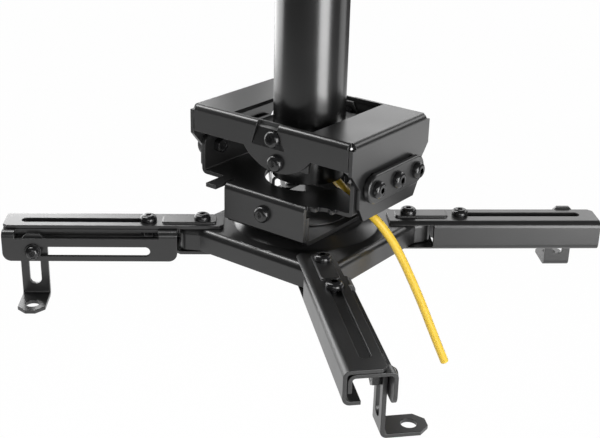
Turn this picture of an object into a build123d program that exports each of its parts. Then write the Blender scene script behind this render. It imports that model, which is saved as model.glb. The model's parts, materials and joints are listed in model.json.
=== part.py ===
from build123d import *
import os
from math import cos, radians, sin, tan

# Projector ceiling mount: a pole under a ceiling plate carries a roll bracket, a pitch
# bracket and a swivelling spider whose four telescopic arms each hold a sliding foot.
# Millimetres, +Z up. The origin is the centre of the ceiling plate's top face. The head
# is drawn from the roll bracket's top face down, and then moved to its place.

# Ceiling plate and pole
plate_side = 110.0
plate_sheet = 4.0
plate_corner = 12.0
plate_hole = 7.0
plate_hole_spacing = 80.0
cable_hole = 38.0
collar_wall = 4.0
collar_depth = 32.0
head_drop = 160.0
pole_diameter = 50.0
pole_wall = 2.0
pole_fit = 0.1
pole_end_drop = 47.3

# Sheets, bends and the clearances between pieces
sheet = 3.0
bend_inside = 1.0
arm_sheet = 2.5
foot_sheet = 2.7
slide_gap = 0.3
face_gap = 0.1
pin_fit = 0.05
bolt_clearance = 0.3

# Fasteners
bolt_radius = 3.0
head_radius = 5.9
head_height = 4.2
head_rim = 0.9
crown_radius = 2.9
nut_flats = 10.0
nut_height = 5.0
socket_flats = 4.0
socket_depth = 2.0
small_bolt_radius = 2.5
small_head_radius = 4.75

# Roll bracket, one folded sheet
cap_length = 136.8
cap_width = 92.6
cap_opening_length = 66.0
cap_opening_width = 82.0
flange_depth = 19.0
cheek_depth = 56.0
cheek_shoulder = 21.0
cheek_waist = 33.0
cheek_waist_half = 36.0
cheek_corner = 46.5
cheek_foot_half = 30.5
corner_slit = 0.5
roll_axis_x = 7.5
roll_axis_drop = 25.8
lobe_radius = 35.0
lobe_drop = 32.8

# Lanced tab in the roll bracket's flange, which carries the roll lock screw
tab_root_drop = 16.6
tab_top_drop = 3.6
tab_top_left = -9.5
tab_top_right = 7.8
tab_root_left = -13.5
tab_root_right = 14.0
tab_kerf = 0.5
tab_lean = 8.0
lock_screw_x = 4.3
lock_screw_rise = 6.5

# Yoke welded to the pole
yoke_drop = 9.0
yoke_half_length = 27.5
yoke_flange_width = 40.0
yoke_flange_depth = 31.5
roll_spacer_length = 6.1
spacer_wall = 3.0

# Pitch bracket, one folded sheet
pitch_axis_drop = 34.0
pitch_half_width = 38.5
pitch_cheek_top = 25.0
pitch_floor_drop = 49.5
floor_hole_radius = 30.0
tongue_half_length = 34.4
tongue_face = 50.0
tongue_depth = 74.7
step_end = 40.7
step_face = 46.0
scoop_end = 51.5
finger_inner = 36.0
finger_outer = 45.0
finger_face = 57.0
flange_screw_drop = 63.0
cable_slot_width = 9.5
cable_slot = ((25.0, 3.6), (48.5, -8.9))

# Side strips with the pitch screws
strip_sheet = 3.5
strip_width = 20.0
strip_length = 68.0
strip_edge = 0.8
strip_lift = 1.7
strip_inset = 1.2
pitch_screw_reach = 24.0
pitch_range = 15.0

# Swivel bracket, hub and spider
swivel_floor_drop = 76.0
swivel_lug_top = 58.0
swivel_hole_radius = 25.0
hub_bore_radius = 19.0
hub_wall = 3.0
hub_top = 2.5
hub_lip = 4.0
hub_lip_height = 1.2
hub_ring_height = 2.0
boss_rise = 5.0
boss_top_radius = 40.0
boss_foot_radius = 51.0
boss_round = 4.0
spider_half = 61.5
spider_depth = 16.0
spider_bend = 4.8
spider_inner_corner = 3.0
pivot_reach = 52.5
ear_reach = 15.8
ear_root_half = 10.6
ear_tip_half = 6.6
ear_round = 5.5

# Arms, in a frame with u outward from the pivot and v to the left-hand side
arm_swings = (-5.4, 2.2, -4.4, -4.0)
arm_inner_end = 15.0
arm_length = 138.0
arm_left = 9.8
arm_right = 15.5
arm_depth = 21.8
arm_bend = 2.0
arm_lip = 10.6
arm_wall_start = 16.8
arm_tongue_end = 18.5
arm_corner = 3.0
arm_slot_start = 33.0
arm_slot_margin = 12.0
arm_slot_width = 7.0
pad_start = 10.0
pad_end = 28.0
pad_width = 12.6
pad_height = 1.4
pad_corner = 2.5
pad_edge = 0.6

# Sliders under the arms
slider_start = 17.2
slider_left = 15.8
slider_wall_depth = 22.0
slider_inner_depth = 11.7
slider_corner = 6.0
hanger_inner_end = 30.0
hanger_outer_length = 9.0
window_drop = 5.0
clamp_screw_u = 37.8
side_slot_start = 36.0
side_slot_margin = 17.0
side_slot_height = 6.8
side_slot_drop = 14.6

# Feet
foot_margin = 21.2
foot_width = 19.0
foot_top_rise = 12.0
foot_height = 47.8
foot_reach = 40.3
foot_bend = 1.5
foot_top_corner = 5.0
foot_plate_corner = 6.0
foot_slot_width = 8.0
foot_slot_top = 5.0
foot_slot_bottom = 26.0
foot_hole = 9.5
foot_hole_v = 29.7
foot_raises = (0.0, 0.0, 7.0, 0.0)
washer_radius = 5.8
washer_height = 1.0

# Cable, by points chosen along its route
cable_diameter = 6.0
cable_route = (
    (-3.0, 9.8, -17.0),
    (0.0, 10.0, -32.0),
    (8.0, 9.5, -45.0),
    (21.0, 6.6, -50.7),
    (36.0, -3.2, -52.0),
    (50.0, -9.6, -55.2),
    (61.5, -8.2, -61.2),
    (67.8, -3.6, -70.2),
    (73.0, 3.2, -83.0),
    (78.2, 9.6, -98.5),
    (88.0, 18.6, -127.5),
    (97.0, 25.4, -155.0),
    (103.6, 30.9, -175.0),
)
turn_share = 0.45

# Places worked out from the sizes above
pole_radius = pole_diameter / 2
bore_radius = pole_radius - pole_wall
cap_x = cap_length / 2
cap_y = cap_width / 2
cap_flange_inner = cap_y - sheet
bend_outside = bend_inside + sheet
yoke_face = cap_flange_inner - roll_spacer_length
pitch_x = cap_x - sheet - slide_gap
strip_x = cap_x + face_gap
strip_face = strip_x + strip_lift + strip_sheet
lug_face = tongue_face - sheet - slide_gap
swivel_bottom = swivel_floor_drop + sheet
boss_top = swivel_bottom + 2 * face_gap
spider_top = boss_top + boss_rise
arm_bottom = spider_top - face_gap
arm_top = arm_bottom - arm_sheet
pad_top = arm_top - pad_height
arm_slot_end = arm_length - arm_slot_margin
slider_top = arm_bottom + 2 * face_gap
side_slot_end = arm_length - side_slot_margin
slider_wall_inner = slider_left - arm_sheet
foot_u = arm_length - foot_margin
foot_back = slider_wall_inner - slide_gap
foot_front = foot_back - foot_sheet
foot_screw_drop = slider_top + side_slot_drop
corner_angles = (225.0, 315.0, 45.0, 135.0)
head_place = Pos(0, 0, -head_drop)


def sheet_section(points, thickness, inside):
    """Section of a folded sheet: one face follows the points, the thickness lies to their left."""
    lines = [Vector(*b) - Vector(*a) for a, b in zip(points, points[1:])]
    ways = [line.normalized() for line in lines]
    lefts = [Vector(-way.Y, way.X) for way in ways]
    far = [Vector(*points[0]) + lefts[0] * thickness]
    near_radii = []
    far_radii = []
    for place, before, after, way, turn in zip(points[1:-1], lefts, lefts[1:], ways, ways[1:]):
        share = thickness / (1 + before.dot(after))
        far.append(Vector(*place) + (before + after) * share)
        left_turn = way.X * turn.Y - way.Y * turn.X > 0
        near_radii.append(inside + thickness if left_turn else inside)
        far_radii.append(inside if left_turn else inside + thickness)
    far.append(Vector(*points[-1]) + lefts[-1] * thickness)
    near_side = FilletPolyline(*points, radius=near_radii)
    far_side = FilletPolyline(*reversed(far), radius=list(reversed(far_radii)))
    ends = [Line(near_side @ 1, far_side @ 0), Line(far_side @ 1, near_side @ 0)]
    return make_face(near_side.edges() + far_side.edges() + ends)


def along_x(face, start, end):
    """A section drawn in Y and Z, extruded from one X to another."""
    return Pos(start, 0, 0) * extrude(Plane.YZ * face, amount=end - start)


def along_y(face, start, end):
    """A section drawn in X and Z, extruded from one Y to another."""
    return Pos(0, end, 0) * extrude(Plane.XZ * face, amount=end - start)


def along_z(face, bottom, top):
    """An outline drawn in X and Y, extruded from one height to another."""
    return extrude(Pos(0, 0, bottom) * face, amount=top - bottom)


def span(x, y):
    """Rectangle between two limits in each direction."""
    return Pos((x[0] + x[1]) / 2, (y[0] + y[1]) / 2) * Rectangle(x[1] - x[0], y[1] - y[0])


def slot_face(start, end, width):
    """Slot with round ends, between the centres of its ends."""
    middle = ((start[0] + end[0]) / 2, (start[1] + end[1]) / 2)
    run = Vector(end[0] - start[0], end[1] - start[1])
    turn = Vector(1, 0).get_signed_angle(run, Vector(0, 0, 1))
    return Pos(*middle) * Rot(0, 0, turn) * SlotCenterToCenter(run.length, width)


def button_screw(length, radius=bolt_radius, head=head_radius, washer=0.0):
    """Domed screw with a hex socket: head above the XY plane, shank below it."""
    rim = (head, head_rim)
    crown = (crown_radius, head_height)
    dome = TangentArc(rim, crown, tangent=(0, 1))
    rest = Polyline(crown, (0, head_height), (0, 0), (head, 0), rim)
    knob = revolve(Plane.XZ * make_face([dome, *rest.edges()]), Axis.Z)
    socket = RegularPolygon(socket_flats / 2, 6, major_radius=False)
    knob -= along_z(socket, head_height - socket_depth, head_height)
    screw = Pos(0, 0, washer) * knob + along_z(Circle(radius), -length, washer)
    if washer > 0:
        screw += along_z(Circle(washer_radius), 0, washer)
    return screw


def hex_nut(radius=bolt_radius):
    """Plain nut under the XY plane, with its thread as a plain hole."""
    flats = RegularPolygon(nut_flats / 2, 6, major_radius=False)
    return along_z(flats - Circle(radius + pin_fit), -nut_height, 0)


def facing(point, outward):
    """Place for a fastener: its head looks along outward from the point."""
    return Location(Plane(origin=point, z_dir=outward))


def ceiling_plate():
    """Square plate with its bolt holes and the collar that takes the pole."""
    outline = RectangleRounded(plate_side, plate_side, plate_corner)
    outline -= GridLocations(plate_hole_spacing, plate_hole_spacing, 2, 2) * Circle(plate_hole / 2)
    plate = along_z(outline - Circle(cable_hole / 2), -plate_sheet, 0)
    socket = pole_radius + pole_fit
    collar = along_z(Circle(socket + collar_wall) - Circle(socket), -collar_depth - plate_sheet, -plate_sheet)
    hole = Circle(bolt_radius + pin_fit)
    reach = socket + collar_wall + head_height
    return plate + collar - along_x(Pos(0, fixing_z()) * hole, -reach, reach)


def fixing_z():
    """Height of the screws that hold the pole in its collar."""
    return -plate_sheet - collar_depth / 2


def pole():
    """Tube from the ceiling plate to the head, with holes for its two fixing screws."""
    tube = along_z(Circle(pole_radius) - Circle(bore_radius), -head_drop - pole_end_drop, -plate_sheet)
    hole = Circle(bolt_radius + pin_fit)
    return tube - along_x(Pos(0, fixing_z()) * hole, -pole_diameter, pole_diameter)


def pole_fixing_screws():
    """Two screws through the collar into the pole's wall."""
    collar_face = pole_radius + pole_fit + collar_wall
    screw = button_screw(collar_face - bore_radius)
    return [facing((side * collar_face, 0, fixing_z()), (side, 0, 0)) * screw for side in (-1, 1)]


def yoke():
    """Channel welded round the pole, with a flange down at the front and at the back."""
    points = [
        (yoke_face, -yoke_flange_depth),
        (yoke_face, -yoke_drop),
        (-yoke_face, -yoke_drop),
        (-yoke_face, -yoke_flange_depth),
    ]
    left = roll_axis_x - yoke_flange_width / 2
    right = roll_axis_x + yoke_flange_width / 2
    body = along_x(sheet_section(points, sheet, bend_inside), left, right)
    flat = span((-yoke_half_length, yoke_half_length), (bend_outside - yoke_face, yoke_face - bend_outside))
    body += along_z(flat, -yoke_drop - sheet, -yoke_drop)
    body -= along_z(Circle(pole_radius + pole_fit), -yoke_flange_depth, 0)
    return body - along_y(Pos(roll_axis_x, -roll_axis_drop) * Circle(bolt_radius + pin_fit), -cap_y, cap_y)


def tab_outline(margin):
    """Outline of the lanced tab in X and Z, narrow at its free top."""
    corners = [
        (tab_top_left + margin, -tab_top_drop),
        (tab_top_right - margin, -tab_top_drop),
        (tab_root_right - margin, -tab_root_drop),
        (tab_root_left + margin, -tab_root_drop),
    ]
    return make_face(Polyline(*corners, close=True))


def tab_place():
    """Lean of the front tab about its root on the flange's outer face."""
    root = Pos(0, -cap_y, -tab_root_drop)
    return root * Rot(-tab_lean, 0, 0) * Pos(0, cap_y, tab_root_drop)


def roll_bracket():
    """Cap folded from one sheet: two cheeks, two lobed flanges, each with a lanced tab."""
    stub = bend_outside + sheet
    across = [(cap_x, -stub), (cap_x, 0), (-cap_x, 0), (-cap_x, -stub)]
    along = [(cap_y, -stub), (cap_y, 0), (-cap_y, 0), (-cap_y, -stub)]
    flat_y = cap_y - bend_outside
    flat_x = cap_x - bend_outside
    body = along_y(sheet_section(across, sheet, bend_inside), -flat_y, flat_y)
    body += along_x(sheet_section(along, sheet, bend_inside), -flat_x, flat_x)
    body += along_x(cheek_face(), cap_x - sheet, cap_x)
    body += along_x(cheek_face(), -cap_x, sheet - cap_x)
    flange = along_y(flange_face(), -cap_y, -cap_flange_inner)
    window = tab_outline(0) + span((tab_top_left, tab_top_right), (-tab_top_drop, 1))
    cut = along_y(window, -cap_y - 1, -flat_y)
    root_strip = span((tab_root_left, tab_root_right), (-tab_root_drop - tab_kerf, -tab_root_drop + tab_kerf))
    tab = tab_place() * along_y(tab_outline(tab_kerf), -cap_y, -cap_flange_inner)
    tab += along_y(root_strip, -cap_y, -cap_flange_inner)
    thread = along_z(Circle(bolt_radius + pin_fit), -cap_y, head_height)
    tab -= lock_screw_place() * thread
    body -= along_z(Rectangle(cap_opening_length, cap_opening_width), -sheet - 1, 1)
    body += flange + mirror(flange, Plane.XZ)
    body -= cut + mirror(cut, Plane.XZ)
    body += tab + mirror(tab, Plane.XZ)
    return body - roll_holes() - pitch_cuts()


def cheek_face():
    """Outline of a roll bracket cheek in Y and Z."""
    right = [
        (cap_y, -bend_outside),
        (cap_y, -cheek_shoulder),
        (cheek_waist_half, -cheek_waist),
        (cheek_waist_half, -cheek_corner),
        (cheek_foot_half, -cheek_depth),
    ]
    left = [(-y, z) for y, z in reversed(right)]
    return make_face(Polyline(*right, *left, close=True))


def flange_face():
    """Outline of a roll bracket flange in X and Z, with the lobe round the roll pivot."""
    end = cap_x - sheet - corner_slit
    lobe = Pos(roll_axis_x, lobe_radius - lobe_drop) * Circle(lobe_radius)
    strip = span((-end, end), (-flange_depth, -bend_outside))
    return strip + (lobe & span((-end, end), (-lobe_drop - 1, -bend_outside - sheet)))


def roll_holes():
    """Holes of the roll pivot through both flanges."""
    return along_y(Pos(roll_axis_x, -roll_axis_drop) * Circle(bolt_radius + pin_fit), -cap_width, cap_width)


def pitch_cuts():
    """Pitch pivot hole and the two arc slots, through both cheeks of the roll bracket."""
    half = bolt_radius + bolt_clearance
    cuts = Circle(bolt_radius + pin_fit)
    ring = Circle(pitch_screw_reach + half) - Circle(pitch_screw_reach - half)
    reach = pitch_screw_reach + 2 * half
    edge = reach * tan(radians(pitch_range))
    for side in (-1, 1):
        wedge = Polyline((0, 0), (side * reach, edge), (side * reach, -edge), close=True)
        cuts += ring & make_face(wedge)
        for turn in (-pitch_range, pitch_range):
            end = (side * pitch_screw_reach * cos(radians(turn)), pitch_screw_reach * sin(radians(turn)))
            cuts += Pos(*end) * Circle(half)
    return along_x(Pos(0, -pitch_axis_drop) * cuts, -cap_length, cap_length)


def roll_pivot_screws():
    """Screws of the roll pivot, front and back."""
    length = cap_y - yoke_face + sheet + nut_height
    screw = button_screw(length)
    return [facing((roll_axis_x, side * cap_y, -roll_axis_drop), (0, side, 0)) * screw for side in (-1, 1)]


def roll_spacers():
    """Spacer rings between the roll bracket's flanges and the yoke."""
    ring = Circle(bolt_radius + spacer_wall) - Circle(bolt_radius + pin_fit)
    spacer = along_z(ring, face_gap - roll_spacer_length, -face_gap)
    place = cap_flange_inner
    return [facing((roll_axis_x, side * place, -roll_axis_drop), (0, side, 0)) * spacer for side in (-1, 1)]


def roll_pivot_nuts():
    """Nuts behind the yoke's flanges."""
    inner = yoke_face - sheet
    return [facing((roll_axis_x, side * inner, -roll_axis_drop), (0, side, 0)) * hex_nut() for side in (-1, 1)]


def lock_screw_place():
    """Place of the front roll lock screw on the leaning tab's outer face."""
    lean = radians(tab_lean)
    point = (lock_screw_x, lock_screw_rise * sin(lean) - cap_y, lock_screw_rise * cos(lean) - tab_root_drop)
    return facing(point, (0, -cos(lean), sin(lean)))


def roll_lock_screws():
    """Screws in the lanced tabs, with their tips just off the yoke."""
    reach = cap_y - lock_screw_rise * sin(radians(tab_lean)) - yoke_face
    tip = bolt_radius * tan(radians(tab_lean)) + slide_gap
    screw = lock_screw_place() * button_screw(reach / cos(radians(tab_lean)) - tip)
    return [screw, mirror(screw, Plane.XZ)]


def side_strip(side):
    """Stadium strip outside one cheek, on a narrower foot, under the heads of the pitch screws."""
    seat = Pos(0, -pitch_axis_drop)
    strip = along_x(seat * SlotOverall(strip_length, strip_width), strip_face - strip_sheet, strip_face)
    strip = chamfer(strip.faces().sort_by(Axis.X)[-1].edges(), strip_edge)
    foot = SlotOverall(strip_length - 2 * strip_inset, strip_width - 2 * strip_inset)
    strip += along_x(seat * foot, strip_x, strip_face - strip_sheet)
    for y in pitch_screw_places():
        strip -= along_x(seat * Pos(y, 0) * Circle(bolt_radius + pin_fit), strip_x - 1, strip_face + 1)
    return strip if side > 0 else mirror(strip, Plane.YZ)


def pitch_screw_places():
    """Y of the pitch pivot and of the two lock screws beside it."""
    return (-pitch_screw_reach, 0.0, pitch_screw_reach)


def pitch_screws():
    """Pitch pivot and lock screws on both sides."""
    screw = button_screw(strip_face - pitch_x + sheet + nut_height)
    places = [(side, y) for side in (-1, 1) for y in pitch_screw_places()]
    return [facing((side * strip_face, y, -pitch_axis_drop), (side, 0, 0)) * screw for side, y in places]


def pitch_nuts():
    """Nuts inside the pitch bracket's cheeks."""
    inner = pitch_x - sheet
    places = [(side, y) for side in (-1, 1) for y in pitch_screw_places()]
    return [facing((side * inner, y, -pitch_axis_drop), (side, 0, 0)) * hex_nut() for side, y in places]


def pitch_bracket():
    """Folded tray: two cheeks up, and a tongue down at the front and at the back."""
    floor = pitch_floor_drop + sheet
    sides = [(-pitch_x, -pitch_cheek_top), (-pitch_x, -floor), (pitch_x, -floor), (pitch_x, -pitch_cheek_top)]
    body = along_y(sheet_section(sides, sheet, bend_inside), -pitch_half_width, pitch_half_width)
    rim = body.edges().filter_by(Axis.X).group_by(Axis.Z)[-1]
    body = fillet(rim, sheet * 2)
    ends = [
        (tongue_face, -tongue_depth),
        (tongue_face, -pitch_floor_drop),
        (-tongue_face, -pitch_floor_drop),
        (-tongue_face, -tongue_depth),
    ]
    body += along_x(sheet_section(ends, sheet, bend_inside), -tongue_half_length, tongue_half_length)
    edge = along_z(floor_edge(), -floor, -pitch_floor_drop)
    body += edge + Rot(0, 0, 180) * edge
    bend_line = bend_outside - tongue_face
    relief = span((tongue_half_length, tongue_half_length + sheet / 2), (-tongue_face, bend_line))
    relief += span((-finger_inner, -tongue_half_length), (-finger_face, bend_line))
    cut = along_z(relief, -floor - 1, 1 - pitch_floor_drop)
    body -= cut + Rot(0, 0, 180) * cut
    slot = slot_face(*cable_slot, cable_slot_width)
    body -= along_z(Circle(floor_hole_radius) + slot, -floor - 1, 1 - pitch_floor_drop)
    screws = [Pos(y, -pitch_axis_drop) * Circle(bolt_radius + pin_fit) for y in pitch_screw_places()]
    for hole in screws:
        body -= along_x(hole, -cap_length, cap_length)
    return body - flange_holes()


def floor_edge():
    """Front edge of the pitch bracket's floor beside the tongue: step, scoop and finger."""
    inner = -pitch_half_width / 2
    step = span((tongue_half_length, step_end), (-step_face, inner))
    scoop = span((step_end, scoop_end), (-(step_face + pitch_half_width) / 2, inner))
    scoop -= Pos((step_end + scoop_end) / 2, -step_face) * Circle((scoop_end - step_end) / 2)
    finger = span((-finger_outer, -finger_inner), (-finger_face, inner))
    return step + scoop + finger


def flange_holes():
    """Screw holes through the tongues and the swivel bracket's lugs."""
    return along_y(Pos(0, -flange_screw_drop) * Circle(bolt_radius + pin_fit), -cap_y * 2, cap_y * 2)


def swivel_bracket():
    """Channel whose lugs are bolted inside the tongues and whose floor holds the hub."""
    points = [
        (-lug_face, -swivel_lug_top),
        (-lug_face, -swivel_bottom),
        (lug_face, -swivel_bottom),
        (lug_face, -swivel_lug_top),
    ]
    body = along_x(sheet_section(points, sheet, bend_inside), -tongue_half_length, tongue_half_length)
    body -= along_z(Circle(swivel_hole_radius), -swivel_bottom - 1, 1 - swivel_floor_drop)
    return body - flange_holes()


def flange_screws():
    """Screws through the tongues and lugs, front and back."""
    screw = button_screw(tongue_face - lug_face + sheet + nut_height)
    return [facing((0, side * tongue_face, -flange_screw_drop), (0, side, 0)) * screw for side in (-1, 1)]


def flange_nuts():
    """Nuts inside the lugs."""
    inner = lug_face - sheet
    return [facing((0, side * inner, -flange_screw_drop), (0, side, 0)) * hex_nut() for side in (-1, 1)]


def swivel_hub():
    """Closed spool that holds the spider under the swivel bracket and lets it turn."""
    tube = hub_bore_radius + hub_wall
    running = swivel_hole_radius - pin_fit
    lip_bottom = -swivel_floor_drop + face_gap
    top = lip_bottom + hub_lip_height
    bottom = -boss_top - sheet - hub_ring_height
    half = Polyline(
        (0, top),
        (running + hub_lip, top),
        (running + hub_lip, lip_bottom),
        (running, lip_bottom),
        (running, -boss_top),
        (tube, -boss_top),
        (tube, bottom),
        (hub_bore_radius, bottom),
        (hub_bore_radius, top - hub_top),
        (0, top - hub_top),
        close=True,
    )
    return revolve(Plane.XZ * make_face(half), Axis.Z)


def hub_ring():
    """Retaining ring pressed on the hub under the spider."""
    tube = hub_bore_radius + hub_wall + pin_fit
    bottom = -boss_top - sheet - hub_ring_height
    return along_z(Circle(tube + 2 * hub_wall) - Circle(tube), bottom, bottom + hub_ring_height)


def pivots():
    """Arm pivots at the spider's corners."""
    return [(pivot_reach * sx, pivot_reach * sy) for sx, sy in ((-1, -1), (1, -1), (1, 1), (-1, 1))]


def spider_outline(inset):
    """Square with a tapered ear at each corner, moved in by the inset."""
    outline = Rectangle(2 * (spider_half - inset), 2 * (spider_half - inset))
    root = ear_root_half - inset
    tip = ear_tip_half - inset
    reach = ear_reach - inset
    ear = make_face(Polyline((0, root), (reach, tip), (reach, -tip), (0, -root), close=True))
    ear = fillet(ear.vertices().group_by(Axis.X)[-1], ear_round - inset)
    for place, angle in zip(pivots(), corner_angles):
        outline += Pos(*place) * Rot(0, 0, angle) * ear
    inner = [v for v in outline.vertices() if min(abs(v.X), abs(v.Y)) < pivot_reach]
    return fillet(inner, spider_inner_corner + inset)


def boss(drop):
    """Round boss with soft edges, with its foot the given drop under the head's top."""
    half = FilletPolyline(
        (boss_foot_radius + 2 * boss_round, -drop),
        (boss_foot_radius, -drop),
        (boss_top_radius, boss_rise - drop),
        (boss_top_radius / 2, boss_rise - drop),
        radius=boss_round,
    )
    foot = half @ 0
    crown = half @ 1
    closing = Polyline(crown, (0, crown.Y), (0, -drop - sheet / 2), (foot.X, -drop - sheet / 2), foot)
    return revolve(Plane.XZ * make_face(half.edges() + closing.edges()), Axis.Z)


def spider_plate():
    """Pressed plate with a rounded skirt, an ear at each corner and a raised round boss."""
    skirt_end = -spider_top - spider_depth
    outer = along_z(spider_outline(0), skirt_end, -spider_top)
    outer = fillet(outer.faces().sort_by(Axis.Z)[-1].edges(), spider_bend)
    inner = along_z(spider_outline(sheet), skirt_end - 1, -spider_top - sheet)
    inner = fillet(inner.faces().sort_by(Axis.Z)[-1].edges(), spider_bend - sheet)
    plate = outer + boss(spider_top) - inner - boss(spider_top + sheet)
    holes = [Pos(*place) * Circle(bolt_radius + pin_fit) for place in pivots()]
    holes.append(Circle(hub_bore_radius + hub_wall + pin_fit))
    for hole in holes:
        plate -= along_z(hole, -spider_top - spider_depth, 0)
    return plate


def arm_pivot_screws():
    """Screws on which the arms turn."""
    screw = button_screw(spider_top - pad_top + sheet + nut_height)
    return [Pos(x, y, -pad_top) * screw for x, y in pivots()]


def arm_pivot_nuts():
    """Nuts under the spider's corners."""
    return [Pos(x, y, -spider_top - sheet) * hex_nut() for x, y in pivots()]


def arm_place(index):
    """Place of an arm's own frame, turned to its rest direction."""
    return Pos(*pivots()[index], 0) * Rot(0, 0, corner_angles[index] + arm_swings[index])


def arm():
    """Channel arm: slotted top with a raised pad, a wall and a lip that widens under the spider's ear."""
    low = -arm_top - arm_depth
    points = [(arm_left, -arm_top), (-arm_right, -arm_top), (-arm_right, low), (arm_left, low)]
    body = along_x(sheet_section(points, arm_sheet, arm_bend), -arm_inner_end, arm_length)
    doorway = span((-arm_inner_end - 1, arm_wall_start), (-arm_right - 1, arm_left + 1))
    body -= along_z(doorway, low + arm_sheet, -arm_bottom)
    beyond_lip = span((arm_tongue_end, arm_length + 1), (arm_lip - arm_right, arm_left + 1))
    body -= along_z(beyond_lip, low - 1, low + arm_sheet + 1)
    corners = [edge for edge in body.edges().filter_by(Axis.Z) if edge.center().Y > 0]
    body = chamfer(corners, arm_corner)
    outline = RectangleRounded(pad_start + pad_end, pad_width, pad_corner)
    pad = along_z(Pos((pad_end - pad_start) / 2, 0) * outline, -arm_top, -pad_top)
    body += chamfer(pad.faces().sort_by(Axis.Z)[-1].edges(), pad_edge)
    half = arm_slot_width / 2
    slot = slot_face((arm_slot_start + half, 0), (arm_slot_end - half, 0), arm_slot_width)
    return body - along_z(slot + Circle(bolt_radius + pin_fit), -arm_bottom - 1, 0)


def slider():
    """Sliding channel: its long wall hangs at both ends and has the foot's slot."""
    low = -slider_top - slider_wall_depth
    right = -arm_right + arm_sheet + slide_gap
    points = [(slider_left, low), (slider_left, -slider_top), (right, -slider_top)]
    points.append((right, -slider_top - slider_inner_depth))
    body = along_x(sheet_section(points, arm_sheet, arm_bend), slider_start, arm_length)
    body = fillet(body.edges().filter_by(Axis.Y).group_by(Axis.Z)[0], slider_corner)
    window = span((hanger_inner_end, arm_length - hanger_outer_length), (arm_left, slider_left + 1))
    body -= along_z(window, -slider_top - window_drop, 1 - slider_top)
    half = side_slot_height / 2
    start = (side_slot_start + half, -foot_screw_drop)
    slot = slot_face(start, (side_slot_end - half, -foot_screw_drop), side_slot_height)
    body -= along_y(slot, slider_wall_inner - 1, slider_left + 1)
    return body - along_z(Pos(clamp_screw_u, 0) * Circle(bolt_radius + pin_fit), -slider_top - sheet, 0)


def clamp_screw():
    """Screw that slides in the arm's slot and clamps the slider."""
    length = slider_top + arm_sheet + nut_height - arm_top + face_gap
    return Pos(clamp_screw_u, 0, -arm_top + face_gap) * button_screw(length)


def clamp_nut():
    """Nut under the slider's top."""
    return Pos(clamp_screw_u, 0, -slider_top - arm_sheet) * hex_nut()


def foot():
    """Slotted leg folded out into a foot plate with the projector screw's hole."""
    top = -foot_screw_drop + foot_top_rise
    low = top - foot_height
    points = [(foot_front, top), (foot_front, low), (foot_reach, low)]
    start = foot_u - foot_width / 2
    body = along_x(sheet_section(points, foot_sheet, foot_bend), start, start + foot_width)
    body = chamfer(body.edges().filter_by(Axis.Y).group_by(Axis.Z)[-1], foot_top_corner)
    body = chamfer(body.edges().filter_by(Axis.Z).group_by(Axis.Y)[-1], foot_plate_corner)
    half = foot_slot_width / 2
    slot_top = (foot_u, -foot_screw_drop + foot_slot_top - half)
    slot_low = (foot_u, -foot_screw_drop - foot_slot_bottom + half)
    body -= along_y(slot_face(slot_low, slot_top, foot_slot_width), foot_front - 1, foot_back + 1)
    return body - along_z(Pos(foot_u, foot_hole_v) * Circle(foot_hole / 2), low - 1, low + foot_sheet + 1)


def foot_screw():
    """Washer-head screw through the slider's side slot and the foot's slot."""
    length = slider_left + face_gap - foot_front + face_gap + nut_height
    screw = button_screw(length, small_bolt_radius, small_head_radius, washer_height)
    return facing((foot_u, slider_left + face_gap, -foot_screw_drop), (0, 1, 0)) * screw


def foot_nut():
    """Nut behind the foot's leg."""
    return facing((foot_u, foot_front - face_gap, -foot_screw_drop), (0, 1, 0)) * hex_nut(small_bolt_radius)


def cable():
    """Round cable from the pole's lower end to its plain cut end."""
    points = [Vector(*point) for point in cable_route]
    radii = []
    for before, place, after in zip(points, points[1:], points[2:]):
        turn = (place - before).get_angle(after - place)
        run = min((place - before).length, (after - place).length)
        radii.append(turn_share * run / tan(radians(turn / 2)))
    path = FilletPolyline(*points, radius=radii)
    section = Plane(origin=path @ 0, z_dir=path % 0) * Circle(cable_diameter / 2)
    tube = sweep(section, path)
    print("cable radii", [round(radius, 1) for radius in radii])
    share = tube.volume / (section.area * path.length)
    print("cable length", round(path.length, 1), "volume share", round(share, 5))
    return tube


os.makedirs("parts", exist_ok=True)


def save(name, solids, place=head_place):
    """Write one node, made of one solid or of a group of like solids."""
    group = list(solids) if isinstance(solids, (list, tuple)) else [solids]
    shape = place * group[0] if len(group) == 1 else Compound([place * solid for solid in group])
    export_step(shape, f"parts/{name}.step")


save("ceiling_plate", ceiling_plate(), Pos(0, 0, 0))
save("pole", pole(), Pos(0, 0, 0))
save("pole_fixing_screws", pole_fixing_screws(), Pos(0, 0, 0))
save("yoke", yoke())
save("roll_bracket", roll_bracket())
save("roll_pivot_screws", roll_pivot_screws())
save("roll_spacers", roll_spacers())
save("roll_pivot_nuts", roll_pivot_nuts())
save("roll_lock_screws", roll_lock_screws())
save("side_strip_left", side_strip(-1))
save("side_strip_right", side_strip(1))
save("pitch_screws", pitch_screws())
save("pitch_nuts", pitch_nuts())
save("pitch_bracket", pitch_bracket())
save("swivel_bracket", swivel_bracket())
save("flange_screws", flange_screws())
save("flange_nuts", flange_nuts())
save("swivel_hub", swivel_hub())
save("hub_ring", hub_ring())
save("spider_plate", spider_plate())
save("arm_pivot_screws", arm_pivot_screws())
save("arm_pivot_nuts", arm_pivot_nuts())
for index, raised in enumerate(foot_raises):
    place = head_place * arm_place(index)
    number = index + 1
    save(f"arm_{number}", arm(), place)
    save(f"slider_{number}", slider(), place)
    save(f"clamp_screw_{number}", clamp_screw(), place)
    save(f"clamp_nut_{number}", clamp_nut(), place)
    save(f"foot_{number}", foot(), place * Pos(0, 0, raised))
    save(f"foot_screw_{number}", foot_screw(), place)
    save(f"foot_nut_{number}", foot_nut(), place)
save("cable", cable())
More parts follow.
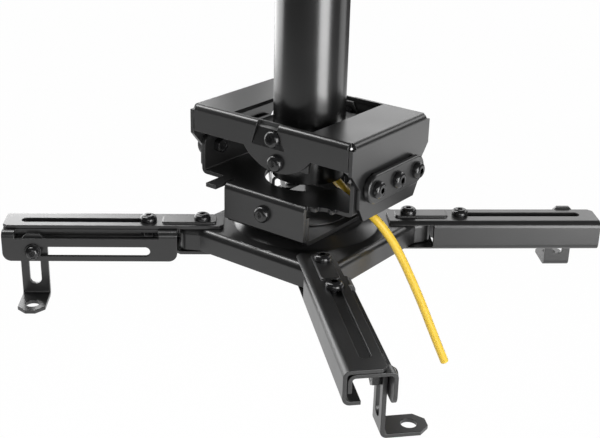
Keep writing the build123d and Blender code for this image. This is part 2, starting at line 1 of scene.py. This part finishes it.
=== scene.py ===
# %% [markdown]
# # A projector ceiling mount in black powder coat
# The real object is folded steel sheet, sprayed satin black, held together by black
# button-head screws. The engineering model already holds every sheet at its true size.
# This lesson adds what a camera sees: softened rims, glossy domed screws with hex
# sockets, a yellow cable and the finishes. We load the model first.

# %% Load the frame
import json
from math import cos, radians, sin

import bmesh
import bpy
from mathutils import Matrix, Vector
from mathutils.bvhtree import BVHTree


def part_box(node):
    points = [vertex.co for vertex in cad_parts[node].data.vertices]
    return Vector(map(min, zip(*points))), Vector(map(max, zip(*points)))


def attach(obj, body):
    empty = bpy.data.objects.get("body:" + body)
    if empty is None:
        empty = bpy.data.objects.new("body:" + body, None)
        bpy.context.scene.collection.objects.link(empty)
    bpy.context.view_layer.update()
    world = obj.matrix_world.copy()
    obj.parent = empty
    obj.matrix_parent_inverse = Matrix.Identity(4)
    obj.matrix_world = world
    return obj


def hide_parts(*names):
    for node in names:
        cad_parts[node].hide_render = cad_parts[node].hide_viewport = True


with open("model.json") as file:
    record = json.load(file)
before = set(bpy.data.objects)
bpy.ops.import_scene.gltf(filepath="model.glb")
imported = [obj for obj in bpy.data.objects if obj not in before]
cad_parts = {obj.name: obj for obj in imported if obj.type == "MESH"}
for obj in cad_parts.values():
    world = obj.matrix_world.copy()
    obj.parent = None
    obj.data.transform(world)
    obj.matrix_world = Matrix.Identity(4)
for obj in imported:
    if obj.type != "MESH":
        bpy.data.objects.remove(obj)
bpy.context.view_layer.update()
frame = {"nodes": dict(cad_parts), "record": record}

mm = 0.001

# %% [markdown]
# ## Camera
# The photograph looks down on the mount from the front right. The camera was worked out
# from straight edges of the brackets, so it is given by its place beside the pole's
# axis, its height over the roll bracket, and three angles. The focal length is known in
# pixels of the photograph, and a sensor of any width then gives the lens.

# %% Place the camera
photo_width = 600
focal_pixels = 1094.57
sensor_width = 36
near_clip = 0.01
view_azimuth = radians(36.66)
view_elevation = radians(22.91)
view_roll = radians(1.50)
camera_place = Vector((427.0, -581.5, 222.0)) * mm
cap_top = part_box("roll_bracket")[1].z
head_top = Vector((0, 0, cap_top))

back = Vector((
    sin(view_azimuth) * cos(view_elevation),
    -cos(view_azimuth) * cos(view_elevation),
    sin(view_elevation),
))
level_right = Vector((cos(view_azimuth), sin(view_azimuth), 0))
level_up = back.cross(level_right)
right = level_right * cos(view_roll) + level_up * sin(view_roll)
up = level_up * cos(view_roll) - level_right * sin(view_roll)
lens = bpy.data.cameras.new("photo_camera")
lens.sensor_width = sensor_width
lens.lens = focal_pixels * sensor_width / photo_width
lens.clip_start = near_clip
camera = bpy.data.objects.new("photo_camera", lens)
turn = Matrix((right, up, back)).transposed().to_4x4()
camera.matrix_world = Matrix.Translation(camera_place + head_top) @ turn
bpy.context.scene.collection.objects.link(camera)
bpy.context.scene.camera = camera
print("camera lens", round(lens.lens, 2), "mm")

# %% [markdown]
# ## Shader sums in Python
# A finish is a small sum: a base value plus some noise times a strength. Wrapping a
# node's output in a class with the usual operators lets us write that sum as Python.
# One method adds any other node, so each finish below stays a few lines long.


# %% Shader class
class Value:
    """One output socket, with arithmetic that adds Math nodes."""

    def __init__(self, nodes, socket):
        self.nodes = nodes
        self.socket = socket

    def math(self, operation, first, second):
        return self.nodes.node("ShaderNodeMath", {"operation": operation}, {0: first, 1: second})

    def __add__(self, other):
        return self.math("ADD", self, other)

    def __radd__(self, other):
        return self.math("ADD", other, self)

    def __sub__(self, other):
        return self.math("SUBTRACT", self, other)

    def __rsub__(self, other):
        return self.math("SUBTRACT", other, self)

    def __mul__(self, other):
        return self.math("MULTIPLY", self, other)

    def __rmul__(self, other):
        return self.math("MULTIPLY", other, self)


class Nodes:
    """A node tree whose nodes are added by type, settings and inputs."""

    def __init__(self, tree):
        self.tree = tree

    def node(self, kind, settings=None, inputs=None, output=0):
        made = self.tree.nodes.new(kind)
        for key, value in (settings or {}).items():
            setattr(made, key, value)
        for key, value in (inputs or {}).items():
            self.feed(made.inputs[key], value)
        return Value(self, made.outputs[output])

    def feed(self, socket, value):
        if isinstance(value, Value):
            self.tree.links.new(value.socket, socket)
        else:
            socket.default_value = value

    def mix(self, factor, low, high):
        settings = {"data_type": "RGBA"}
        return self.node("ShaderNodeMix", settings, {0: factor, 6: low, 7: high}, 2)

    def ray(self, kind):
        return self.node("ShaderNodeLightPath", output=f"Is {kind} Ray")


class Finish(Nodes):
    """A material with one Principled shader at its end."""

    def __init__(self, name):
        self.material = bpy.data.materials.new(name)
        self.material.use_nodes = True
        super().__init__(self.material.node_tree)
        self.shader = self.tree.nodes["Principled BSDF"]

    def surface(self, **inputs):
        for key, value in inputs.items():
            self.feed(self.shader.inputs[key.replace("_", " ")], value)

    def place(self):
        return self.node("ShaderNodeTexCoord", output="Object")

    def noise(self, scale, detail):
        inputs = {"Vector": self.place(), "Scale": scale, "Detail": detail}
        return self.node("ShaderNodeTexNoise", None, inputs)

    def bump(self, height, strength, distance):
        inputs = {"Strength": strength, "Distance": distance, "Height": height}
        return self.node("ShaderNodeBump", None, inputs)


# %% [markdown]
# ## Finishes
# Powder coat is a thick satin paint that flows into a fine, soft orange peel about half
# a millimetre across. Two sizes of noise give it: a fine one for the peel, and a broad
# faint one that makes the gloss drift over a large sheet. The pole has the same paint,
# sprayed smoother. The screws are oiled black oxide, darker and shinier. The cable's
# jacket is a smooth soft plastic with a faint wave in it.

# %% Finishes
drift_scale = 38.0
peel_scale = 1900.0
peel_depth = 0.05 * mm
smear_scale = 420.0
smear_depth = 0.03 * mm
jacket_drift_scale = 60.0
jacket_wave_scale = 240.0
jacket_wave_depth = 0.1 * mm


def powder_coat(name, grey, rough, shine, peel):
    finish = Finish(name)
    drift = finish.noise(drift_scale, 3.0)
    grain = finish.noise(peel_scale, 2.0)
    dark = (grey * 0.88, grey * 0.88, grey * 0.89, 1)
    pale = (grey * 1.12, grey * 1.12, grey * 1.13, 1)
    finish.surface(
        Base_Color=finish.mix(drift * 0.6 + grain * 0.4, dark, pale),
        Roughness=rough - 0.04 + drift * 0.06 + grain * 0.03,
        Specular_IOR_Level=shine,
        Normal=finish.bump(grain, peel, peel_depth),
    )
    return finish.material


def black_oxide(name):
    finish = Finish(name)
    smear = finish.noise(smear_scale, 4.0)
    deep_black = (0.006, 0.006, 0.006, 1)
    worn_black = (0.014, 0.014, 0.015, 1)
    finish.surface(
        Base_Color=finish.mix(smear, deep_black, worn_black),
        Roughness=0.16 + smear * 0.12,
        Specular_IOR_Level=0.6,
        Normal=finish.bump(smear, 0.12, smear_depth),
    )
    return finish.material


def cable_jacket(name):
    finish = Finish(name)
    drift = finish.noise(jacket_drift_scale, 3.0)
    wave = finish.noise(jacket_wave_scale, 1.0)
    deep_yellow = (0.74, 0.48, 0.03, 1)
    pale_yellow = (0.82, 0.56, 0.05, 1)
    finish.surface(
        Base_Color=finish.mix(drift, deep_yellow, pale_yellow),
        Roughness=0.38 + wave * 0.08,
        Normal=finish.bump(wave, 0.05, jacket_wave_depth),
    )
    return finish.material


sheet_coat = powder_coat("sheet_powder_coat", grey=0.014, rough=0.30, shine=0.75, peel=0.10)
pole_coat = powder_coat("pole_powder_coat", grey=0.005, rough=0.25, shine=1.0, peel=0.06)
screw_oxide = black_oxide("screw_black_oxide")
jacket = cable_jacket("cable_jacket")
print("finishes", [finish.name for finish in (sheet_coat, pole_coat, screw_oxide, jacket)])

# %% [markdown]
# ## Sheets with softened rims
# A laser-cut, sprayed sheet has no knife edges: the coat rounds every rim, and that
# narrow round catches the light as a thin bright line. Modelling each bracket again
# would risk its size, so we take a copy of the engineering mesh instead. It is merged
# into one skin, its flat triangles are joined into clean panels, and each sharp rim gets
# a narrow bevel. Where rims meet, a bevel can overshoot, and such points are put back on
# the skin. Weighted normals then keep the panels flat and the rims round.

# %% Softened sheets
weld_gap = 0.001 * mm
flat_angle = radians(0.05)
sharp_angle = radians(30)
rim_steps = 2


def finish_piece(name, bm, body, nodes, material):
    mesh = bpy.data.meshes.new(name)
    bm.to_mesh(mesh)
    bm.free()
    piece = bpy.data.objects.new(name, mesh)
    bpy.context.scene.collection.objects.link(piece)
    mesh.materials.append(material)
    weights = piece.modifiers.new("flat_panels", "WEIGHTED_NORMAL")
    weights.use_face_influence = True
    weights.keep_sharp = True
    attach(piece, body)
    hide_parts(*nodes)
    return piece


def body_of(node):
    bodies = frame["record"]["behaviour"]["bodies"]
    return next(body for body, nodes in bodies.items() if node in nodes)


def merged_copy(node):
    bm = bmesh.new()
    bm.from_mesh(frame["nodes"][node].data)
    bmesh.ops.remove_doubles(bm, verts=bm.verts, dist=weld_gap)
    bmesh.ops.dissolve_limit(bm, angle_limit=flat_angle, verts=bm.verts, edges=bm.edges)
    return bm


def soften(bm, rim):
    """Bevel the sharp rims, and put back on the skin what overshoots where rims meet."""
    skin = BVHTree.FromBMesh(bm)
    sharp = [edge for edge in bm.edges if edge.is_manifold and edge.calc_face_angle() > sharp_angle]
    bmesh.ops.bevel(
        bm, geom=sharp, offset=rim, offset_type="OFFSET", segments=rim_steps, profile=0.5,
        affect="EDGES", clamp_overlap=False, loop_slide=False, material=-1, face_strength_mode="ALL",
    )
    for vert in bm.verts:
        nearest, _, _, gap = skin.find_nearest(vert.co)
        if gap > rim / 2:
            vert.co = nearest
    for face in bm.faces:
        face.smooth = True


def softened_piece(node, ending, rim, material):
    bm = merged_copy(node)
    soften(bm, rim)
    return finish_piece(node + ending, bm, body_of(node), [node], material)


sheet_rim = 0.35 * mm
sheet_nodes = [
    "ceiling_plate", "yoke", "roll_bracket", "side_strip_left", "side_strip_right",
    "pitch_bracket", "swivel_bracket", "swivel_hub", "hub_ring", "spider_plate",
]
for number in range(1, 5):
    sheet_nodes += [f"arm_{number}", f"slider_{number}", f"foot_{number}"]
for node in sheet_nodes:
    piece = softened_piece(node, "_sheet", sheet_rim, sheet_coat)
    print(piece.name, len(piece.data.polygons), "faces")
pole = softened_piece("pole", "_tube", sheet_rim, pole_coat)
print(pole.name, len(pole.data.polygons), "faces")

# %% [markdown]
# ## Nuts and spacers
# The nuts sit inside the brackets, and only a few of their corners show. A nut's corners
# are turned off on a lathe, so its rims get a wider bevel than the sheets have.

# %% Nuts and spacers
nut_rim = 0.5 * mm
nut_nodes = ["roll_pivot_nuts", "pitch_nuts", "flange_nuts", "arm_pivot_nuts", "roll_spacers"]
nut_nodes += [f"{kind}_nut_{number}" for kind in ("clamp", "foot") for number in range(1, 5)]
for node in nut_nodes:
    piece = softened_piece(node, "_turned", nut_rim, screw_oxide)
    print(piece.name, len(piece.data.polygons), "faces")

# %% [markdown]
# ## Domed screws
# A button-head screw is a disc with a full round edge and a hex socket. We build one from
# a circle with the operators that a person would use: extrude the head, bevel its upper
# rim wide enough to make the dome, bridge the crown to a hexagon and push that down for
# the socket. The shank is an inset of the underside, pulled down. Where each screw goes
# is read from the engineering model: a screw is round, so the box round its points,
# seen along its axis, gives the axis and both ends.

# %% One screw
screw_sides = 48
head_height = 4.2 * mm
dome_round = 3.0 * mm
socket_flats = 4.0 * mm
socket_depth = 2.0 * mm
socket_edge = 0.12 * mm
tip_edge = 0.4 * mm
washer_radius = 5.8 * mm
washer_height = 1.0 * mm
washer_edge = 0.3 * mm
hex_sides = 6
dome_steps = 8
edge_steps = 2
smooth_limit = radians(40)
head_radius = 5.9 * mm
bolt_radius = 3.0 * mm
sample_length = 12.0 * mm


def pulled(bm, face, lift):
    """Extrude a flat face straight up or down and return the new end face."""
    made = bmesh.ops.extrude_face_region(bm, geom=[face, *face.edges])["geom"]
    verts = [item for item in made if isinstance(item, bmesh.types.BMVert)]
    bmesh.ops.translate(bm, verts=verts, vec=(0, 0, lift))
    return next(item for item in made if isinstance(item, bmesh.types.BMFace))


def round_edges(bm, edges, size, steps):
    bmesh.ops.bevel(
        bm, geom=edges, offset=size, offset_type="OFFSET", segments=steps, profile=0.5,
        affect="EDGES", clamp_overlap=False, loop_slide=False, material=-1,
    )


def hex_socket(bm, crown):
    """Open the crown into a hexagon and push that down."""
    rim = list(crown.edges)
    level = crown.calc_center_median().z
    bmesh.ops.delete(bm, geom=[crown], context="FACES_ONLY")
    corner = socket_flats / 2 / cos(radians(30))
    verts = bmesh.ops.create_circle(bm, segments=hex_sides, radius=corner)["verts"]
    bmesh.ops.translate(bm, verts=verts, vec=(0, 0, level))
    wires = [edge for edge in bm.edges if edge.is_wire]
    bmesh.ops.subdivide_edges(bm, edges=wires, cuts=len(rim) // hex_sides - 1)
    hexagon = [edge for edge in bm.edges if edge.is_wire]
    bmesh.ops.bridge_loops(bm, edges=rim + hexagon)
    made = bmesh.ops.extrude_edge_only(bm, edges=hexagon)["geom"]
    low = [item for item in made if isinstance(item, bmesh.types.BMVert)]
    bmesh.ops.translate(bm, verts=low, vec=(0, 0, -socket_depth))
    bmesh.ops.contextual_create(bm, geom=[edge for edge in bm.edges if edge.is_boundary])
    round_edges(bm, hexagon, socket_edge, edge_steps)


def domed_screw(head, shank, length, washer):
    """Mesh of one screw with its seat on the XY plane and its head above it."""
    bm = bmesh.new()
    seat_radius = washer_radius if washer else head
    bmesh.ops.create_circle(bm, cap_ends=True, segments=screw_sides, radius=seat_radius)
    top = bm.faces[:][0]
    if washer:
        top = pulled(bm, top, washer_height)
        brim = list(top.edges)
        bmesh.ops.inset_region(bm, faces=[top], thickness=seat_radius - head, use_even_offset=True)
        round_edges(bm, brim, washer_edge, edge_steps)
    crown = pulled(bm, top, head_height)
    round_edges(bm, list(crown.edges), dome_round, dome_steps)
    hex_socket(bm, max(bm.faces, key=lambda face: face.calc_center_median().z))
    under = min(bm.faces, key=lambda face: face.calc_center_median().z)
    bmesh.ops.inset_region(bm, faces=[under], thickness=seat_radius - shank, use_even_offset=True)
    tip = pulled(bm, under, -length)
    round_edges(bm, list(tip.edges), tip_edge, edge_steps)
    bmesh.ops.recalc_face_normals(bm, faces=bm.faces)
    for face in bm.faces:
        face.smooth = True
    mesh = bpy.data.meshes.new("screw")
    bm.to_mesh(mesh)
    bm.free()
    mesh.set_sharp_from_angle(angle=smooth_limit)
    return mesh


sample = domed_screw(head_radius, bolt_radius, sample_length, False)
print("one screw", len(sample.polygons), "faces")
bpy.data.meshes.remove(sample)

# %% Place the screws
tab_lean = radians(8.0)
small_head_radius = 4.75 * mm
small_bolt_radius = 2.5 * mm


def solids(node):
    """Points of each separate solid of a node."""
    bm = merged_copy(node)
    bm.verts.index_update()
    groups = []
    seen = set()
    for start in bm.verts:
        if start.index in seen:
            continue
        seen.add(start.index)
        group = [start]
        for vert in group:
            for edge in vert.link_edges:
                other = edge.other_vert(vert)
                if other.index not in seen:
                    seen.add(other.index)
                    group.append(other)
        groups.append([vert.co.copy() for vert in group])
    bm.free()
    return groups


def seat_of(points, axis, washer):
    """Place of a screw's seat, turned so that +Z looks out of its head, and its length."""
    turn = axis.to_track_quat("Z", "Y").to_matrix()
    seen = [turn.transposed() @ point for point in points]
    low = Vector([min(point[i] for point in seen) for i in range(3)])
    high = Vector([max(point[i] for point in seen) for i in range(3)])
    middle = (low + high) / 2
    widest = max(seen, key=lambda point: (point - middle).xy.length)
    if widest.z < middle.z:
        return seat_of(points, -axis, washer)
    seat = high.z - head_height - (washer_height if washer else 0)
    place = Matrix.Translation(turn @ Vector((middle.x, middle.y, seat))) @ turn.to_4x4()
    return place, seat - low.z


def screw_piece(node, axis_at, head=head_radius, shank=bolt_radius, washer=False):
    bm = bmesh.new()
    groups = solids(node)
    for points in groups:
        place, length = seat_of(points, axis_at(points[0]), washer)
        mesh = domed_screw(head, shank, length, washer)
        mesh.transform(place)
        bm.from_mesh(mesh)
        bpy.data.meshes.remove(mesh)
    piece = finish_piece(node + "_domed", bm, body_of(node), [node], screw_oxide)
    print(piece.name, len(groups), "screws", len(piece.data.polygons), "faces")


def leaning(point):
    """Axis of a lock screw, which leans back with its tab at the front or at the back."""
    return Vector((0, cos(tab_lean) if point.y > 0 else -cos(tab_lean), sin(tab_lean)))


for node in ("pole_fixing_screws", "pitch_screws"):
    screw_piece(node, lambda point: Vector((1, 0, 0)))
for node in ("roll_pivot_screws", "flange_screws"):
    screw_piece(node, lambda point: Vector((0, 1, 0)))
for node in ("arm_pivot_screws", "clamp_screw_1", "clamp_screw_2", "clamp_screw_3", "clamp_screw_4"):
    screw_piece(node, lambda point: Vector((0, 0, 1)))
screw_piece("roll_lock_screws", leaning)
joints = frame["record"]["behaviour"]["joints"]
slides = {joint["name"]: Vector(joint["axis"]) for joint in joints if "axis" in joint}
for number in range(1, 5):
    across = Vector((0, 0, 1)).cross(slides[f"arm_{number}_extend"])
    screw_piece(
        f"foot_screw_{number}", lambda point: across,
        head=small_head_radius, shank=small_bolt_radius, washer=True,
    )

# %% [markdown]
# ## Cable
# The yellow cable comes down the pole, leaves its lower end, crosses the floor of the
# pitch bracket through a slot and hangs. A limp cable has no corners, so it is one smooth
# NURBS curve whose control points are the points of the solid's route, with a round bevel.

# %% Cable
cable_diameter = 6.0 * mm
cable_route = [
    (-3.0, 9.8, -17.0), (0.0, 10.0, -32.0), (8.0, 9.5, -45.0), (21.0, 6.6, -50.7),
    (36.0, -3.2, -52.0), (50.0, -9.6, -55.2), (61.5, -8.2, -61.2), (67.8, -3.6, -70.2),
    (73.0, 3.2, -83.0), (78.2, 9.6, -98.5), (88.0, 18.6, -127.5), (97.0, 25.4, -155.0),
    (103.6, 30.9, -175.0),
]
cable_points = [Vector(point) * mm + head_top for point in cable_route]
curve = bpy.data.curves.new("cable_line", "CURVE")
curve.dimensions = "3D"
curve.bevel_depth = cable_diameter / 2
curve.bevel_resolution = 6
curve.use_fill_caps = True
spline = curve.splines.new("NURBS")
spline.points.add(len(cable_points) - 1)
for point, place in zip(spline.points, cable_points):
    point.co = (*place, 1)
spline.order_u = 3
spline.use_endpoint_u = True
spline.resolution_u = 12
curve.materials.append(jacket)
cable = bpy.data.objects.new("cable_jacket", curve)
bpy.context.scene.collection.objects.link(cable)
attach(cable, "pole_mount")
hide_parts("cable")

# %% [markdown]
# ## Floor
# The mount hangs over a pale floor, far enough up for its shadow to fall out of the
# picture. The floor shows as white to the camera. What the paint mirrors of the floor is
# a painted pool of light: the floor glows for glossy rays, and that glow fades with the
# distance from a place a little behind the mount and to its left. It stands in for a
# studio floor that is bright only near the lamps.

# %% Floor
floor_drop = 1.2
floor_half = 30
floor_tone = (0.85, 0.85, 0.85, 1)
floor_rough = 0.9
white = (1, 1, 1, 1)
glow_share = 0.99
pool_middle = Vector((-0.5, 0.3, 0))
pool_inner = 3.0
pool_outer = 3.9
pool_fall = 0.97
bm = bmesh.new()
bmesh.ops.create_grid(bm, x_segments=1, y_segments=1, size=floor_half)
bmesh.ops.translate(bm, verts=bm.verts, vec=(0, 0, -floor_drop))
floor_mesh = bpy.data.meshes.new("floor")
bm.to_mesh(floor_mesh)
bm.free()
floor = bpy.data.objects.new("floor", floor_mesh)
bpy.context.scene.collection.objects.link(floor)

pale = Finish("pale_floor")
pale.surface(Base_Color=floor_tone, Roughness=floor_rough)
spread = {0: pale.place(), 1: pool_middle - Vector((0, 0, floor_drop))}
reach = pale.node("ShaderNodeVectorMath", {"operation": "DISTANCE"}, spread, "Value")
fade = {"Value": reach, "From Min": pool_inner, "From Max": pool_outer}
far = pale.node("ShaderNodeMapRange", {"interpolation_type": "SMOOTHSTEP"}, fade)
# painted pool of light: the floor's glow in reflections fades away from the pool's middle
painted_pool = 1 - far * pool_fall
shown = pale.ray("Camera") + pale.ray("Transmission") + pale.ray("Glossy") * painted_pool
glow = pale.node("ShaderNodeEmission", None, {"Color": white, "Strength": 1.0})
plain = Value(pale, pale.shader.outputs[0])
mixed = pale.node("ShaderNodeMixShader", None, {0: shown * glow_share, 1: plain, 2: glow})
pale.feed(pale.tree.nodes["Material Output"].inputs["Surface"], mixed)
floor_mesh.materials.append(pale.material)
print("floor", floor_drop, "m down")

# %% [markdown]
# ## Light
# Black paint shows its form by what it mirrors, so each lamp has one job. A softbox high
# on the left draws the bright lines along the bends. Low panels on the left and at the
# back are mirrored by the upper faces, and a tall strip on the right makes the streak
# down the pole. A weak fill beside the camera reaches the cable inside the head. The sky
# is white to the camera alone: as a light it stays dim, so that hollows stay dark.

# %% Light
sky_level = 0.07
aim_drop = 60 * mm
aim = head_top - Vector((0, 0, aim_drop))
world = bpy.data.worlds.new("studio")
bpy.context.scene.world = world
world.use_nodes = True
sky = Nodes(world.node_tree)
sky.tree.nodes.remove(sky.tree.nodes["Background"])
dim_sky = sky.node("ShaderNodeBackground", None, {"Color": white, "Strength": sky_level})
white_sky = sky.node("ShaderNodeBackground", None, {"Color": white, "Strength": 1.0})
mixed = sky.node("ShaderNodeMixShader", None, {0: sky.ray("Camera"), 1: dim_sky, 2: white_sky})
sky.feed(sky.tree.nodes["World Output"].inputs["Surface"], mixed)


def softbox(name, place, size, power):
    light = bpy.data.lights.new(name, "AREA")
    light.shape = "RECTANGLE"
    light.size, light.size_y = size
    light.energy = power
    lamp = bpy.data.objects.new(name, light)
    turn = (aim - Vector(place)).to_track_quat("-Z", "Y").to_matrix().to_4x4()
    lamp.matrix_world = Matrix.Translation(Vector(place)) @ turn
    bpy.context.scene.collection.objects.link(lamp)
    print(name, power, "W")


softbox("overhead_softbox", (-0.95, -0.1, 1.05), (0.5, 1.3), 19)
softbox("left_panel", (-1.4, 0.1, -0.08), (1.8, 0.9), 18)
softbox("back_left_panel", (-1.1, 0.75, 0.29), (0.5, 0.4), 2.4)
softbox("right_strip", (1.45, -0.4, -0.14), (0.85, 1.15), 24)
softbox("back_panel", (-0.35, 1.5, 0.34), (1.5, 0.6), 6)
softbox("back_right_panel", (0.6, 1.2, 0.65), (0.8, 0.5), 3)
softbox("low_right_panel", (0.85, 1.25, -0.5), (0.8, 0.5), 1.5)
softbox("front_fill", (0.85, -1.15, 0.25), (0.6, 0.6), 3)
bpy.context.scene.view_settings.view_transform = "Standard"
